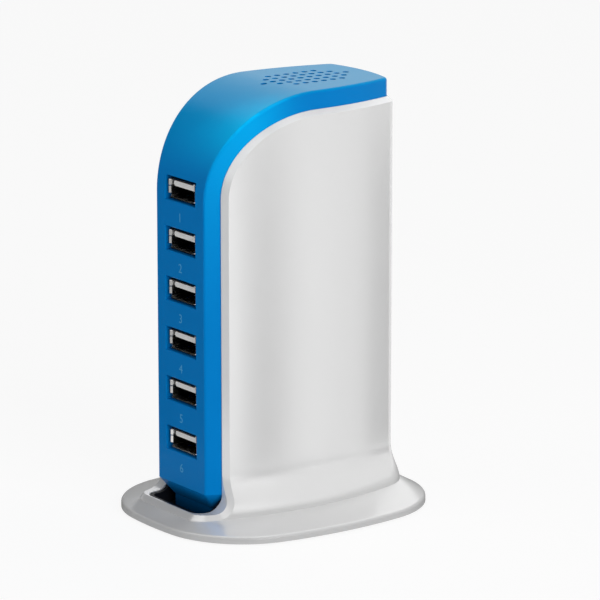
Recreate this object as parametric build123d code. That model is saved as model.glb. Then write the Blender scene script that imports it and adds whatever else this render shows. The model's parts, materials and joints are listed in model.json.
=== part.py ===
from build123d import *
import os
from math import atan2, cos, radians, sin, sqrt

# Six-port tower charger: a blue core stands in a white sleeve with a flared foot.
# Frame: origin under the middle of the base, on the surface it stands on, ports facing -Y.
# Heights are measured from the underside of the base, which the pads lift off that surface.

# Core in plan: straight front, two bowed sides and a bowed rear
CORE_FRONT_Y = -33.7
CORE_FRONT_WIDTH = 25.3
CORE_WIDTH = 38.9
CORE_BELLY = 35.4
CORE_DEPTH = 67.7
CORE_REAR_RADIUS = 50.7
CORE_REAR_CORNER = 2.5
CORE_WALL = 2.0
CORE_EDGE = 0.9

# Core from the side: the front rolls over into the flat top, the foot tapers in
CORE_HEIGHT = 130.7
ROLL_DEPTH = 35.7
ROLL_DROP = 31.3
TAPER_TOP = 10.7
TAPER_DROP = 5.3
TAPER_INSET = 4.0
FOOT_WALL = 2.0
LEDGE_HEIGHT = 12.0

# Vent holes in the top: rows across the width, with the number of holes in each row
VENT_ROWS = (6, 8, 10, 8, 6)
VENT_DIAMETER = 2.0
VENT_PITCH = 3.35
VENT_ROW_PITCH = 3.7
VENT_MIDDLE = 45.4

# Sleeve: opening, bevelled rim, front pocket, skirt and oval base
SLEEVE_GAP = 0.15
SLEEVE_WALL = 1.65
RIM_DROP = 5.6
RIM_SETBACK = 4.7
RIM_CURVE_DEPTH = 30.9
RIM_CURVE_DROP = 24.65
RIM_LAND = 0.15
LIP_HEIGHT = 5.75
LIP_CURVE = 4.7
LIP_WALL = 1.85
POCKET_REACH = 4.35
POCKET_WIDTH = 28.2
POCKET_CORNER = 4.0
SKIRT_TOP = 17.4
SKIRT_DROP = 13.4
SKIRT_SPREAD = 3.6
SKIRT_HOLLOW = 0.55
SKIRT_ROUNDING = 5.0
SKIRT_STEPS = 2
SLOPE_TOP = 4.9
SLOPE_TILT = 0.9
SLOPE_TUCK = 0.4
BASE_WIDTH = 75.5
BASE_DEPTH = 90.4
BASE_SIDE_RADIUS = 130.4
BASE_END_RADIUS = 122.8
BASE_CORNER = 28.1
BASE_RIM = 2.25
BASE_EDGE = 1.0
BASE_EDGE_TURN = 75.0
BASE_EDGE_STEPS = 3

# Base plate, its upstand and pads
PLATE_THICK = 2.0
PLATE_SPREAD = 6.0
PLATE_MARGIN = 3.0
PLATE_GAP = 0.15
UPSTAND_WALL = 1.2
UPSTAND_TOP = 8.4
UPSTAND_SHY = 0.25
PAD_DIAMETER = 9.0
PAD_PROUD = 0.6
PAD_RECESS = 0.8
PAD_GAP = 0.1
PAD_SPACING_X = 34.0
PAD_SPACING_Y = 56.0

# Screws
SCREW_DIAMETER = 2.8
SCREW_HEAD = 5.4
SCREW_HEAD_DEPTH = 1.4
SCREW_LENGTH = 9.0
SCREW_GAP = 0.05
BOSS_DIAMETER = 6.4
BOSS_SPACING_X = 12.0
BOSS_FRONT_INSET = 2.4
BOSS_REAR_INSET = 3.0

# USB receptacles
PORT_COUNT = 6
PORT_TOP_DROP = 29.3
PORT_LOW_HEIGHT = 24.4
WINDOW_WIDTH = 15.9
WINDOW_HEIGHT = 7.3
WINDOW_BEVEL = 0.2
SHELL_WIDTH = 13.2
SHELL_HEIGHT = 5.8
SHELL_SHEET = 0.35
SHELL_CORNER = 0.8
SHELL_LENGTH = 14.0
MOUTH_WIDTH = 14.4
MOUTH_DEPTH = 0.45
MOUTH_SETBACK = 0.7
FLAP_ROOT = 6.0
FLAP_TOP = 2.5
FLAP_LOW = -1.7
FLAP_SLIT = 0.3
FLAP_SLIT_HEIGHT = 0.35
SPRING_WIDTH = 2.0
SPRING_LENGTH = 5.0
SPRING_SPACING = 6.8
SPRING_SETBACK = 3.5
TONGUE_WIDTH = 11.4
TONGUE_THICK = 1.6
TONGUE_DROP = 0.45
TONGUE_SETBACK = 1.1
TONGUE_CHAMFER = 0.5
BLOCK_LENGTH = 4.0
CONTACT_COUNT = 4
CONTACT_PITCH = 2.2
CONTACT_WIDTH = 1.0
CONTACT_THICK = 0.3
CONTACT_SETBACK = 1.2

# Boards
BOARD_THICK = 1.6
BOARD_GAP = 0.15
PORT_BOARD_MARGIN = 10.6
RAIL_THICK = 1.2
RAIL_REACH = 1.6
POWER_BOARD_FRONT = 19.0
POWER_BOARD_DEPTH = 42.0
POWER_BOARD_HEIGHT = 92.0
BOARD_SCREW_INSET = 3.2
BOARD_BOSS_DIAMETER = 5.0
BOARD_SCREW_DIAMETER = 2.0
BOARD_SCREW_HEAD = 3.8
BOARD_SCREW_HEAD_THICK = 1.3
BOARD_SCREW_LENGTH = 3.0

# Mains inlet
INLET_HEIGHT = 24.0
INLET_WIDTH = 19.6
INLET_TALL = 12.0
INLET_LENGTH = 16.3
INLET_SETBACK = 1.2
INLET_GAP = 0.15
INLET_CAVITY_WIDTH = 16.2
INLET_CAVITY_TALL = 8.8
INLET_CAVITY_DEPTH = 12.0
INLET_FLANGE = 2.2
INLET_FLANGE_THICK = 1.6
PIN_DIAMETER = 2.4
PIN_SPACING = 8.6
PIN_SETBACK = 1.5
PIN_TAIL = 1.2
PIN_STUB = 2.0

# Parts on the power board: place behind the core's front, height, then sizes
FUSE_PLACE = (42.0, 20.5)
FUSE_DIAMETER = 8.5
FUSE_TALL = 8.0
SAFETY_PLACE = (54.0, 42.0)
SAFETY_SIZE = (13.0, 6.0)
SAFETY_TALL = 11.0
CHOKE_PLACE = (51.5, 58.0)
CHOKE_OUTER = 14.0
CHOKE_INNER = 7.6
CHOKE_THICK = 6.5
COIL_COVER = 1.0
COIL_ANGLE = 130.0
BRIDGE_PLACE = (35.0, 51.0)
BRIDGE_SIZE = (15.0, 3.2)
BRIDGE_TALL = 10.0
BULK_PLACE = (30.0, 33.0)
BULK_DIAMETER = 16.0
BULK_TALL = 22.0
CAN_BEVEL = 0.8
OUTPUT_PLACES = ((24.5, 60.0), (24.5, 71.0))
OUTPUT_DIAMETER = 8.0
OUTPUT_TALL = 14.0
TRANSFORMER_PLACE = (38.5, 72.0)
FERRITE_WIDTH = 20.0
FERRITE_TALL = 17.0
FERRITE_THICK = 6.0
FERRITE_LEG = 6.0
FERRITE_YOKE = 2.6
BOBBIN_GAP = 0.1
BOBBIN_WALL = 0.8
BOBBIN_REACH = 4.0
COIL_REACH = 3.4
SINK_PLACES = ((56.0, 81.0), (33.5, 94.0))
SINK_WIDTH = 18.0
SINK_TALL = 20.0
SINK_THICK = 1.5
DEVICE_WIDTH = 10.0
DEVICE_TALL = 15.0
DEVICE_THICK = 4.4
DEVICE_LIFT = 3.5
DEVICE_TAB = 1.3
DEVICE_BODY = 9.0
LEAD_PITCH = 2.5
LEAD_SIZE = (0.8, 0.5)
HEADER_HEIGHT = 88.0
HEADER_LENGTH = 15.0
HEADER_TALL = 2.5
HEADER_OVERLAP = 3.0

# Longer than anything here, and shorter than anything that matters
REACH = 400.0
TINY = 0.001

# Derived places
BULGE = (CORE_WIDTH - CORE_FRONT_WIDTH) / 2
SIDE_RADIUS = (CORE_BELLY**2 + BULGE**2) / (2 * BULGE)
BELLY_Y = CORE_FRONT_Y + CORE_BELLY
REAR_Y = CORE_FRONT_Y + CORE_DEPTH
SLEEVE_GROW = SLEEVE_GAP + SLEEVE_WALL
RIM_BEVEL = SLEEVE_WALL - RIM_LAND
MOUTH_Y = CORE_FRONT_Y + MOUTH_SETBACK
PORT_BOARD_Y = MOUTH_Y + SHELL_LENGTH
PORT_BOARD_BACK = PORT_BOARD_Y + BOARD_THICK
PORT_TOP_HEIGHT = CORE_HEIGHT - PORT_TOP_DROP
PORT_PITCH = (PORT_TOP_HEIGHT - PORT_LOW_HEIGHT) / (PORT_COUNT - 1)
PORT_HEIGHTS = [PORT_TOP_HEIGHT - PORT_PITCH * n for n in range(PORT_COUNT)]
PORT_BOARD_TOP = PORT_TOP_HEIGHT + PORT_BOARD_MARGIN
INLET_FACE_Y = REAR_Y + SLEEVE_GROW - INLET_SETBACK
INLET_BACK_Y = INLET_FACE_Y - INLET_LENGTH


def core_half(depth, grow=0.0):
    """Half the width of the core, grown by a margin, at a depth behind its front."""
    radius = SIDE_RADIUS + grow
    return CORE_WIDTH / 2 - SIDE_RADIUS + sqrt(radius**2 - (depth - CORE_BELLY) ** 2)


POWER_BOARD_REAR = POWER_BOARD_FRONT + POWER_BOARD_DEPTH
BOARD_OUTER_X = BOARD_GAP - core_half(POWER_BOARD_REAR, -CORE_WALL)
BOARD_X = BOARD_OUTER_X + BOARD_THICK


def up(sketch, low, high):
    """Prism of a plan between two heights above the underside of the base."""
    return extrude(Pos(0, 0, PAD_PROUD + low) * sketch, amount=high - low)


def back(sketch, front, rear):
    """Prism of a front view, drawn in X and height, from one Y to another."""
    return extrude(Plane.XZ.offset(-rear) * Pos(0, PAD_PROUD) * sketch, amount=rear - front)


def across(sketch, left, right):
    """Prism of a side view, drawn in Y and height, from one X to another."""
    return extrude(Plane.YZ.offset(left) * Pos(0, PAD_PROUD) * sketch, amount=right - left)


def on_board(place, shape, low, tall):
    """Prism of a shape standing on the power board, at a place behind the core's front."""
    sketch = Pos(CORE_FRONT_Y + place[0], place[1]) * shape
    return across(sketch, BOARD_X + low, BOARD_X + low + tall)


def span(x_low, x_high, y_low, y_high):
    """Rectangle between two corners."""
    return Pos((x_low + x_high) / 2, (y_low + y_high) / 2) * Rectangle(x_high - x_low, y_high - y_low)


def bowed_plan(grow, front_y, front_corner, rounding=0.0):
    """Plan with the core's bowed sides and rear, grown by a margin, behind a straight front."""
    side_x = SIDE_RADIUS - CORE_WIDTH / 2
    sides = Pos(-side_x, BELLY_Y) * Circle(SIDE_RADIUS + grow)
    sides &= Pos(side_x, BELLY_Y) * Circle(SIDE_RADIUS + grow)
    rear = Pos(0, REAR_Y - CORE_REAR_RADIUS) * Circle(CORE_REAR_RADIUS + grow)
    plan = sides & rear & span(-REACH, REACH, front_y, REACH)
    corners = plan.vertices().group_by(Axis.Y)
    plan = fillet(corners[-1], max(CORE_REAR_CORNER + grow + rounding, CORE_EDGE / 2))
    if front_corner:
        plan = fillet(plan.vertices().group_by(Axis.Y)[0], front_corner)
    return plan


def core_plan(grow):
    """Plan of the core, grown by a margin all round."""
    return bowed_plan(grow, CORE_FRONT_Y - grow, 0)


def sleeve_plan(spread, shy=0.0):
    """Outer plan of the sleeve, spread beyond its wall at the sides and rear, less a margin."""
    front = CORE_FRONT_Y - POCKET_REACH - LIP_WALL + shy
    rounding = SKIRT_ROUNDING * spread / SKIRT_SPREAD
    return bowed_plan(SLEEVE_GROW + spread - shy, front, POCKET_CORNER + LIP_WALL - shy, rounding)


def base_plan(inset):
    """Oval of the base, less a margin: four wide arcs joined by corner arcs."""
    side_x = BASE_SIDE_RADIUS - BASE_WIDTH / 2
    end_y = BASE_END_RADIUS - BASE_DEPTH / 2
    side, end = Circle(BASE_SIDE_RADIUS - inset), Circle(BASE_END_RADIUS - inset)
    plan = Pos(-side_x, 0) * side & Pos(side_x, 0) * side & Pos(0, -end_y) * end & Pos(0, end_y) * end
    return fillet(plan.vertices(), BASE_CORNER - inset)


def arc_steps(angle, steps):
    """Sine and one minus cosine of evenly spaced angles from zero, in radians."""
    turns = [angle * n / steps for n in range(steps + 1)]
    return [(sin(turn), 1 - cos(turn)) for turn in turns]


def skirt_steps():
    """Heights and spreads of the skirt from its top down: a hollow arc that runs into a round one."""
    turn = 2 * atan2(SKIRT_SPREAD, SKIRT_DROP)
    whole = SKIRT_DROP / sin(turn)
    hollow, rounded = whole * SKIRT_HOLLOW, whole * (1 - SKIRT_HOLLOW)
    arc = arc_steps(turn, SKIRT_STEPS)
    low = SKIRT_TOP - SKIRT_DROP
    steps = [(SKIRT_TOP - hollow * fall, hollow * spread) for fall, spread in arc]
    return steps + [(low + rounded * rise, SKIRT_SPREAD - rounded * shy) for rise, shy in arc[-2::-1]]


def plate_plan(shy):
    """Plan of the plate under the core, inside the rim of the base, less a margin."""
    return sleeve_plan(PLATE_SPREAD, shy) & base_plan(PLATE_MARGIN + shy)


def pocket_plan(grow):
    """Plan of the pocket in front of the core's foot, grown by a margin."""
    half = POCKET_WIDTH / 2 + grow
    front = CORE_FRONT_Y - POCKET_REACH - grow
    plan = span(-half, half, front, CORE_FRONT_Y + RIM_SETBACK)
    return fillet(plan.vertices().group_by(Axis.Y)[0], POCKET_CORNER + grow)


def rolled_profile(front, top, roll_depth, roll_drop):
    """Side view that is upright at the front and rolls over an elliptic arc into a flat top."""
    corner = span(front, front + roll_depth, top - roll_drop, top)
    roll = Pos(front + roll_depth, top - roll_drop) * Ellipse(roll_depth, roll_drop)
    return span(front, REACH, -REACH, top) - corner + (roll & corner)


def opening_profile(shy):
    """Side view of what the sleeve's opening takes away, moved into the sleeve by shy."""
    lip = LIP_HEIGHT - shy
    rim_y = CORE_FRONT_Y + RIM_SETBACK + shy
    kept = rolled_profile(rim_y, CORE_HEIGHT - RIM_DROP - shy, RIM_CURVE_DEPTH, RIM_CURVE_DROP)
    corner = span(rim_y - LIP_CURVE, rim_y, lip, lip + LIP_CURVE)
    web = corner - Pos(rim_y - LIP_CURVE, lip + LIP_CURVE) * Circle(LIP_CURVE)
    return span(-REACH, REACH, lip, REACH) - kept - web


def side_edges(body, low):
    """Edges where faces that look forward or up, from a height upward, meet the sides."""
    found = []
    for face in body.faces():
        facing = face.normal_at(None)
        if abs(facing.X) > TINY or facing.Y > TINY or facing.Z < -TINY:
            continue
        if face.bounding_box().min.Z > PAD_PROUD + low - TINY:
            found += face.edges()
    return [e for e in found if max(e.bounding_box().size.Y, e.bounding_box().size.Z) > TINY]


def inlet_outline(grow):
    """Outline of the inlet's nose, grown by a margin."""
    return Pos(0, INLET_HEIGHT) * SlotOverall(INLET_WIDTH + 2 * grow, INLET_TALL + 2 * grow)


def screw_places():
    """Plan places of the four screws under the core, against the inside of its foot."""
    foot = TAPER_INSET + FOOT_WALL
    x = BOSS_SPACING_X / 2
    front = CORE_FRONT_Y + foot + BOSS_FRONT_INSET
    rear = REAR_Y - foot - BOSS_REAR_INSET
    return [(-x, front), (x, front), (-x, rear), (x, rear)]


def pad_places():
    """Plan places of the four pads, centred under the base."""
    return [(PAD_SPACING_X * i / 2, PAD_SPACING_Y * j / 2) for i in (-1, 1) for j in (-1, 1)]


def board_screw_places():
    """Places of the power board's four screws, behind the core's front and in height."""
    low = LEDGE_HEIGHT + BOARD_SCREW_INSET
    high = LEDGE_HEIGHT + POWER_BOARD_HEIGHT - BOARD_SCREW_INSET
    front = POWER_BOARD_FRONT + BOARD_SCREW_INSET
    rear = POWER_BOARD_REAR - BOARD_SCREW_INSET
    return [(front, low), (rear, low), (front, high), (rear, high)]


def outer_sleeve():
    """White sleeve: oval base, skirt and tower wall, opened for the core, pocket, plate and inlet."""
    skirt = [Pos(0, 0, PAD_PROUD + height) * sleeve_plan(spread) for height, spread in skirt_steps()]
    body = loft(skirt) + up(sleeve_plan(0), SKIRT_TOP, CORE_HEIGHT)
    body -= across(opening_profile(0), -REACH, REACH)
    body = chamfer(side_edges(body, LIP_HEIGHT), RIM_BEVEL)
    rim_low = BASE_RIM - BASE_EDGE * sin(radians(BASE_EDGE_TURN))
    rim = []
    for rise, inset in arc_steps(radians(BASE_EDGE_TURN), BASE_EDGE_STEPS):
        rim.append(Pos(0, 0, PAD_PROUD + rim_low + BASE_EDGE * rise) * base_plan(BASE_EDGE * inset))
    crown = Pos(0, 0, PAD_PROUD + SLOPE_TOP) * Rot(SLOPE_TILT, 0, 0) * sleeve_plan(SKIRT_SPREAD, SLOPE_TUCK)
    body += up(base_plan(0), 0, rim_low) + loft(rim) + loft([rim[-1], crown], ruled=True)
    body -= up(core_plan(SLEEVE_GAP), -REACH, REACH)
    body -= up(pocket_plan(0), -REACH, LIP_HEIGHT + LIP_CURVE)
    body -= up(plate_plan(0), -REACH, PLATE_THICK)
    return body - back(inlet_outline(INLET_GAP), 0, REACH)


def core_hollow():
    """Space inside the core: the tower above the ledge and a narrower way down through the foot."""
    inside = rolled_profile(
        CORE_FRONT_Y + CORE_WALL, CORE_HEIGHT - CORE_WALL, ROLL_DEPTH - CORE_WALL, ROLL_DROP - CORE_WALL
    )
    tower = up(core_plan(-CORE_WALL), LEDGE_HEIGHT, CORE_HEIGHT) & across(inside, -REACH, REACH)
    return tower + up(core_plan(-TAPER_INSET - FOOT_WALL), 0, LEDGE_HEIGHT)


def core_fittings():
    """Rails that hold the port board's edges, and bosses for the base and board screws."""
    inner = half_port_board() - RAIL_REACH
    rails = [PORT_BOARD_Y - BOARD_GAP - RAIL_THICK, PORT_BOARD_BACK + BOARD_GAP]
    fittings = []
    for front in rails:
        for low_x, high_x in ((-CORE_WIDTH, -inner), (inner, CORE_WIDTH)):
            rail = span(low_x, high_x, LEDGE_HEIGHT, PORT_BOARD_TOP)
            fittings.append(back(rail, front, front + RAIL_THICK))
    for depth, height in board_screw_places():
        boss = Pos(CORE_FRONT_Y + depth, height) * Circle(BOARD_BOSS_DIAMETER / 2)
        fittings.append(across(boss, -CORE_WIDTH, BOARD_OUTER_X))
    walls = up(core_plan(-CORE_WALL / 2), LEDGE_HEIGHT, CORE_HEIGHT)
    fittings = [piece & walls for piece in fittings]
    for place in screw_places():
        fittings.append(up(Pos(*place) * Circle(BOSS_DIAMETER / 2), PLATE_THICK, LEDGE_HEIGHT))
    return fittings


def window_cut(height):
    """Port window in the front wall, with a bevelled mouth."""
    bevel = 2 * WINDOW_BEVEL
    mouth = Pos(0, height) * Rectangle(WINDOW_WIDTH + bevel, WINDOW_HEIGHT + bevel)
    window = Pos(0, height) * Rectangle(WINDOW_WIDTH, WINDOW_HEIGHT)
    front, inside = [
        Plane.XZ.offset(-CORE_FRONT_Y - depth) * Pos(0, PAD_PROUD) for depth in (0, WINDOW_BEVEL)
    ]
    return loft([front * mouth, inside * window]) + back(window, CORE_FRONT_Y, CORE_FRONT_Y + 2 * CORE_WALL)


def vent_cut():
    """Vent holes: rows across the top, each row centred on the same depth."""
    holes = []
    for row, count in enumerate(VENT_ROWS):
        x = (row - (len(VENT_ROWS) - 1) / 2) * VENT_ROW_PITCH
        for n in range(count):
            y = CORE_FRONT_Y + VENT_MIDDLE + (n - (count - 1) / 2) * VENT_PITCH
            holes.append(Pos(x, y) * Circle(VENT_DIAMETER / 2))
    return up(Sketch() + holes, CORE_HEIGHT - ROLL_DROP, CORE_HEIGHT)


def core_cover():
    """Blue core: hollow tower with a rolled front, tapered foot, windows, vents, rails and bosses."""
    roll = rolled_profile(CORE_FRONT_Y, CORE_HEIGHT, ROLL_DEPTH, ROLL_DROP)
    body = up(core_plan(0), TAPER_TOP, CORE_HEIGHT) & across(roll, -REACH, REACH)
    body = fillet(side_edges(body, TAPER_TOP), CORE_EDGE)
    taper_low = TAPER_TOP - TAPER_DROP
    wide, narrow = [bowed_plan(-inset, CORE_FRONT_Y + inset, CORE_EDGE) for inset in (0, TAPER_INSET)]
    body += loft(
        [Pos(0, 0, PAD_PROUD + TAPER_TOP) * wide, Pos(0, 0, PAD_PROUD + taper_low) * narrow], ruled=True
    )
    body += up(narrow, PLATE_THICK, taper_low)
    body -= core_hollow()
    body += core_fittings()
    body -= [window_cut(height) for height in PORT_HEIGHTS]
    body -= vent_cut()
    body -= back(inlet_outline(INLET_GAP), 0, REACH)
    screw_hole = Circle(SCREW_DIAMETER / 2 + SCREW_GAP)
    body -= [up(Pos(*place) * screw_hole, 0, SCREW_LENGTH + SCREW_GAP) for place in screw_places()]
    return body - [board_screw(place, SCREW_GAP) for place in board_screw_places()]


def half_port_board():
    """Half the width of the port board, a clearance inside the core's walls."""
    return core_half(PORT_BOARD_Y - CORE_FRONT_Y, -CORE_WALL) - BOARD_GAP


def base_plate():
    """Dark plate under the core, with an upstand that lines the pocket and locates the sleeve."""
    plate = up(plate_plan(PLATE_GAP), 0, PLATE_THICK)
    margin = SLEEVE_GAP - PLATE_GAP
    outside = core_plan(margin) + pocket_plan(-PLATE_GAP)
    inside = core_plan(margin - UPSTAND_WALL) + pocket_plan(-PLATE_GAP - UPSTAND_WALL)
    upstand = up(outside, PLATE_THICK, UPSTAND_TOP) - up(inside, PLATE_THICK, UPSTAND_TOP)
    plate += upstand - across(opening_profile(UPSTAND_SHY), -REACH, REACH)
    recess = Circle(PAD_DIAMETER / 2 + PAD_GAP)
    plate -= [up(Pos(*place) * recess, 0, PAD_RECESS) for place in pad_places()]
    return plate - [base_screw(place, SCREW_GAP) for place in screw_places()]


def foot_pad(place):
    """Rubber pad, seated in its recess."""
    return up(Pos(*place) * Circle(PAD_DIAMETER / 2), -PAD_PROUD, PAD_RECESS)


def base_screw(place, grow=0.0):
    """Countersunk screw, or with a margin the hole for one."""
    shank = SCREW_DIAMETER / 2 + grow
    head = Cone(SCREW_HEAD / 2 + grow, shank, SCREW_HEAD_DEPTH)
    screw = Pos(*place, PAD_PROUD + SCREW_HEAD_DEPTH / 2) * head
    return screw + up(Pos(*place) * Circle(shank), 0, SCREW_LENGTH)


def board_screw(place, grow=0.0):
    """Pan-head screw through the power board, or with a margin the hole for one."""
    tip = -BOARD_SCREW_LENGTH - grow
    shank = on_board(place, Circle(BOARD_SCREW_DIAMETER / 2 + grow), tip, BOARD_SCREW_LENGTH + grow)
    return shank + on_board(place, Circle(BOARD_SCREW_HEAD / 2), 0, BOARD_SCREW_HEAD_THICK)


def mouth_tube(height, shrink):
    """Receptacle tube whose sides flare out at the mouth, taken in by a margin all round."""
    neck_y = MOUTH_Y + MOUTH_DEPTH
    tall, corner = SHELL_HEIGHT - 2 * shrink, SHELL_CORNER - shrink
    mouth, neck = [
        Plane.XZ.offset(-y) * Pos(0, PAD_PROUD + height) * RectangleRounded(width - 2 * shrink, tall, corner)
        for y, width in ((MOUTH_Y, MOUTH_WIDTH), (neck_y, SHELL_WIDTH))
    ]
    return loft([mouth, neck], ruled=True) + extrude(neck, amount=neck_y - PORT_BOARD_Y)


def usb_shell(height):
    """Folded steel shell with a slit flap flared out at each side and spring windows above and below."""
    shell = mouth_tube(height, 0) - mouth_tube(height, SHELL_SHEET)
    half, slit = SHELL_HEIGHT / 2, FLAP_SLIT_HEIGHT + FLAP_SLIT
    for low, high in ((-half, FLAP_LOW), (FLAP_SLIT_HEIGHT, slit), (FLAP_TOP, half)):
        for left, right in ((-MOUTH_WIDTH, -FLAP_ROOT), (FLAP_ROOT, MOUTH_WIDTH)):
            gap = span(left, right, height + low, height + high)
            shell -= back(gap, MOUTH_Y, MOUTH_Y + MOUTH_DEPTH)
    spring_y = MOUTH_Y + SPRING_SETBACK
    spring = Rectangle(SPRING_WIDTH, SHELL_HEIGHT)
    for side in (-1, 1):
        place = Pos(side * SPRING_SPACING / 2, height)
        shell -= back(place * spring, spring_y, spring_y + SPRING_LENGTH)
    return shell


def tongue_top(height):
    """Height of the upper face of a receptacle's tongue."""
    return height + SHELL_HEIGHT / 2 - SHELL_SHEET - TONGUE_DROP


def usb_insulator(height):
    """Moulded block at the back of the shell with the contact tongue in front of it."""
    block_y = PORT_BOARD_Y - BLOCK_LENGTH
    inner = RectangleRounded(
        SHELL_WIDTH - 2 * SHELL_SHEET, SHELL_HEIGHT - 2 * SHELL_SHEET, SHELL_CORNER - SHELL_SHEET
    )
    block = back(Pos(0, height) * inner, block_y, PORT_BOARD_Y)
    section = Rectangle(TONGUE_WIDTH, TONGUE_THICK)
    section = chamfer(section.vertices(), TONGUE_CHAMFER)
    middle = tongue_top(height) - TONGUE_THICK / 2
    return block + back(Pos(0, middle) * section, MOUTH_Y + TONGUE_SETBACK, block_y)


def usb_contacts(height):
    """Contact strips under the tongue."""
    low = tongue_top(height) - TONGUE_THICK - CONTACT_THICK
    front = MOUTH_Y + TONGUE_SETBACK + CONTACT_SETBACK
    strips = []
    for n in range(CONTACT_COUNT):
        x = (n - (CONTACT_COUNT - 1) / 2) * CONTACT_PITCH
        strip = span(x - CONTACT_WIDTH / 2, x + CONTACT_WIDTH / 2, low, low + CONTACT_THICK)
        strips.append(back(strip, front, PORT_BOARD_Y - BLOCK_LENGTH))
    return Compound(children=strips)


def port_board():
    """Upright board that carries the receptacles, held by its edges."""
    half = half_port_board()
    face = span(-half, half, LEDGE_HEIGHT, PORT_BOARD_TOP)
    return back(face, PORT_BOARD_Y, PORT_BOARD_BACK)


def power_board():
    """Upright board along one side that carries the mains supply."""
    front, rear = CORE_FRONT_Y + POWER_BOARD_FRONT, CORE_FRONT_Y + POWER_BOARD_REAR
    face = span(front, rear, LEDGE_HEIGHT, LEDGE_HEIGHT + POWER_BOARD_HEIGHT)
    board = across(face, BOARD_OUTER_X, BOARD_X)
    return board - [board_screw(place, SCREW_GAP) for place in board_screw_places()]


def inlet_body():
    """Two-pin inlet: a nose through the back wall, a flange inside it and a stadium socket."""
    half_flange = INLET_WIDTH / 2 + INLET_FLANGE
    wall_radius = CORE_REAR_RADIUS - CORE_WALL
    flange_y = REAR_Y - CORE_REAR_RADIUS + sqrt(wall_radius**2 - half_flange**2) - INLET_GAP
    body = back(inlet_outline(0), INLET_BACK_Y, INLET_FACE_Y)
    body += back(inlet_outline(INLET_FLANGE), flange_y - INLET_FLANGE_THICK, flange_y)
    socket = Pos(0, INLET_HEIGHT) * SlotOverall(INLET_CAVITY_WIDTH, INLET_CAVITY_TALL)
    body -= back(socket, INLET_FACE_Y - INLET_CAVITY_DEPTH, INLET_FACE_Y)
    return body - [inlet_pin(n, SCREW_GAP) for n in range(2)]


def inlet_pin(number, grow=0.0):
    """Round pin whose flat tail runs to the power board, or with a margin its hole."""
    x = (number - 0.5) * PIN_SPACING
    tail_y = INLET_BACK_Y - PIN_STUB - 2 * number * PIN_TAIL
    pin = Pos(x, INLET_HEIGHT) * Circle(PIN_DIAMETER / 2 + grow)
    tail = span(BOARD_X, x, INLET_HEIGHT - PIN_TAIL / 2, INLET_HEIGHT + PIN_TAIL / 2)
    return back(pin, tail_y, INLET_FACE_Y - PIN_SETBACK) + back(tail, tail_y, tail_y + PIN_TAIL)


def can(place, diameter, tall):
    """Capacitor can with a bevelled end."""
    body = on_board(place, Circle(diameter / 2), 0, tall)
    return chamfer(body.faces().sort_by(Axis.X)[-1].edges(), CAN_BEVEL)


def choke_core():
    """Ring core of the line choke, inside its windings."""
    ring = Circle(CHOKE_OUTER / 2) - Circle(CHOKE_INNER / 2)
    return on_board(CHOKE_PLACE, ring, COIL_COVER, CHOKE_THICK)


def choke_coil():
    """Two windings wrapped round opposite sides of the ring core."""
    ring = Circle(CHOKE_OUTER / 2 + COIL_COVER) - Circle(CHOKE_INNER / 2 - COIL_COVER)
    gap = (180 - COIL_ANGLE) / 2
    windings = []
    for start in (gap, 180 + gap):
        rays = [Vector(CHOKE_OUTER, 0).rotate(Axis.Z, start + COIL_ANGLE * n / 2) for n in range(3)]
        wedge = make_face(Polyline((0, 0), *rays, close=True))
        winding = on_board(CHOKE_PLACE, ring & wedge, 0, CHOKE_THICK + 2 * COIL_COVER)
        windings.append(winding - choke_core())
    return Compound(children=windings)


def transformer_core():
    """Ferrite with two windows either side of its middle leg."""
    depth, height = TRANSFORMER_PLACE
    right = BOARD_X + FERRITE_TALL
    half = FERRITE_WIDTH / 2
    frame = span(BOARD_X, right, height - half, height + half)
    for low, high in ((FERRITE_LEG / 2, half - FERRITE_YOKE), (FERRITE_YOKE - half, -FERRITE_LEG / 2)):
        frame -= span(BOARD_X + FERRITE_YOKE, right - FERRITE_YOKE, height + low, height + high)
    front = CORE_FRONT_Y + depth - FERRITE_THICK / 2
    return back(frame, front, front + FERRITE_THICK)


def leg_outline(grow):
    """Section of the ferrite's middle leg, grown by a margin."""
    return Rectangle(FERRITE_THICK + 2 * grow, FERRITE_LEG + 2 * grow)


def transformer_bobbin():
    """Square tube round the middle leg, with a flange at each end."""
    tall = FERRITE_TALL - 2 * FERRITE_YOKE
    tube = leg_outline(BOBBIN_GAP + BOBBIN_WALL) - leg_outline(BOBBIN_GAP)
    flange = leg_outline(BOBBIN_REACH) - leg_outline(BOBBIN_GAP)
    bobbin = on_board(TRANSFORMER_PLACE, tube, FERRITE_YOKE, tall)
    for low in (FERRITE_YOKE, FERRITE_YOKE + tall - BOBBIN_WALL):
        bobbin += on_board(TRANSFORMER_PLACE, flange, low, BOBBIN_WALL)
    return bobbin


def transformer_coil():
    """Winding between the bobbin's flanges."""
    outside = leg_outline(COIL_REACH)
    outside = fillet(outside.vertices(), COIL_REACH / 2)
    winding = outside - leg_outline(BOBBIN_GAP + BOBBIN_WALL)
    low = FERRITE_YOKE + BOBBIN_WALL
    return on_board(TRANSFORMER_PLACE, winding, low, FERRITE_TALL - 2 * low)


def heat_sink(place):
    """Upright cooling plate."""
    return on_board(place, Rectangle(SINK_THICK, SINK_WIDTH), 0, SINK_TALL)


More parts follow.
